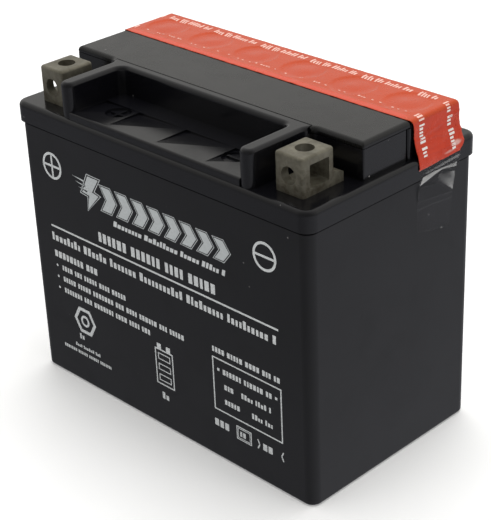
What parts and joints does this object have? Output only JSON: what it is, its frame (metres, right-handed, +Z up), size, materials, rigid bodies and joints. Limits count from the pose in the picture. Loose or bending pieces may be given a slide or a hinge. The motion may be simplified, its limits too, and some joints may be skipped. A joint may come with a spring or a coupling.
{
  "type": "motorcycle battery",
  "caption": "Black sealed starter battery with two box terminals, a recessed lid and a red tear-off seal; lead plates and straps inside.",
  "frame": {"origin": "centre of the base, on the surface that the battery stands on", "axes": "+X along the length, from the positive terminal to the negative; +Y along the width, from the terminal side to the filler side; +Z up"},
  "size_m": [0.1508, 0.087, 0.1283],
  "materials": {
    "case_plastic": "black polypropylene, fine satin",
    "lid_plastic": "black polypropylene, polished mould",
    "cover_plastic": "black polypropylene, polished mould",
    "seal_foil": "red printed film over foil",
    "clear_film": "clear adhesive film",
    "terminal_metal": "dull grey cast lead alloy",
    "cast_lead": "cast lead",
    "positive_plate": "brown lead dioxide paste",
    "negative_plate": "grey sponge lead",
    "glass_mat": "white glass-fibre felt",
    "rubber": "black rubber",
    "sealing_resin": "cast epoxy resin",
    "porous_disc": "porous ceramic",
    "case_print": "white pad-printed ink",
    "seal_print": "white ink on the film"
  },
  "bodies": {
    "battery": {"container": "case_plastic", "lid": "lid_plastic", "vent_cover": "cover_plastic", "clear_tape_left": "clear_film", "clear_tape_right": "clear_film", "positive_terminal": "terminal_metal", "negative_terminal": "terminal_metal", "positive_o_ring": "rubber", "positive_resin_seal": "sealing_resin", "negative_o_ring": "rubber", "negative_resin_seal": "sealing_resin", "flame_arrestor": "porous_disc", "cell_1_positive_plates": "positive_plate", "cell_1_negative_plates": "negative_plate", "cell_1_separators": "glass_mat", "cell_1_positive_strap": "cast_lead", "cell_1_negative_strap": "cast_lead", "cell_2_positive_plates": "positive_plate", "cell_2_negative_plates": "negative_plate", "cell_2_separators": "glass_mat", "cell_2_positive_strap": "cast_lead", "cell_2_negative_strap": "cast_lead", "cell_3_positive_plates": "positive_plate", "cell_3_negative_plates": "negative_plate", "cell_3_separators": "glass_mat", "cell_3_positive_strap": "cast_lead", "cell_3_negative_strap": "cast_lead", "cell_4_positive_plates": "positive_plate", "cell_4_negative_plates": "negative_plate", "cell_4_separators": "glass_mat", "cell_4_positive_strap": "cast_lead", "cell_4_negative_strap": "cast_lead", "cell_5_positive_plates": "positive_plate", "cell_5_negative_plates": "negative_plate", "cell_5_separators": "glass_mat", "cell_5_positive_strap": "cast_lead", "cell_5_negative_strap": "cast_lead", "cell_6_positive_plates": "positive_plate", "cell_6_negative_plates": "negative_plate", "cell_6_separators": "glass_mat", "cell_6_positive_strap": "cast_lead", "cell_6_negative_strap": "cast_lead", "intercell_welds": "cast_lead"},
    "seal": {"tear_off_seal": "seal_foil"},
    "relief_valve_1": {"relief_valve_cap_1": "rubber"},
    "relief_valve_2": {"relief_valve_cap_2": "rubber"},
    "relief_valve_3": {"relief_valve_cap_3": "rubber"},
    "relief_valve_4": {"relief_valve_cap_4": "rubber"},
    "relief_valve_5": {"relief_valve_cap_5": "rubber"},
    "relief_valve_6": {"relief_valve_cap_6": "rubber"}
  },
  "joints": [
    {"name": "seal_lift", "type": "slide", "parent": "battery", "child": "seal", "axis": [0, 0, 1], "range_m": [0, 0.05]},
    {"name": "relief_valve_1_lift", "type": "slide", "parent": "battery", "child": "relief_valve_1", "axis": [0, 0, 1], "range_m": [0, 0.0006], "stiffness_N_per_m": 300},
    {"name": "relief_valve_2_lift", "type": "slide", "parent": "battery", "child": "relief_valve_2", "axis": [0, 0, 1], "range_m": [0, 0.0006], "stiffness_N_per_m": 300},
    {"name": "relief_valve_3_lift", "type": "slide", "parent": "battery", "child": "relief_valve_3", "axis": [0, 0, 1], "range_m": [0, 0.0006], "stiffness_N_per_m": 300},
    {"name": "relief_valve_4_lift", "type": "slide", "parent": "battery", "child": "relief_valve_4", "axis": [0, 0, 1], "range_m": [0, 0.0006], "stiffness_N_per_m": 300},
    {"name": "relief_valve_5_lift", "type": "slide", "parent": "battery", "child": "relief_valve_5", "axis": [0, 0, 1], "range_m": [0, 0.0006], "stiffness_N_per_m": 300},
    {"name": "relief_valve_6_lift", "type": "slide", "parent": "battery", "child": "relief_valve_6", "axis": [0, 0, 1], "range_m": [0, 0.0006], "stiffness_N_per_m": 300}
  ]
}
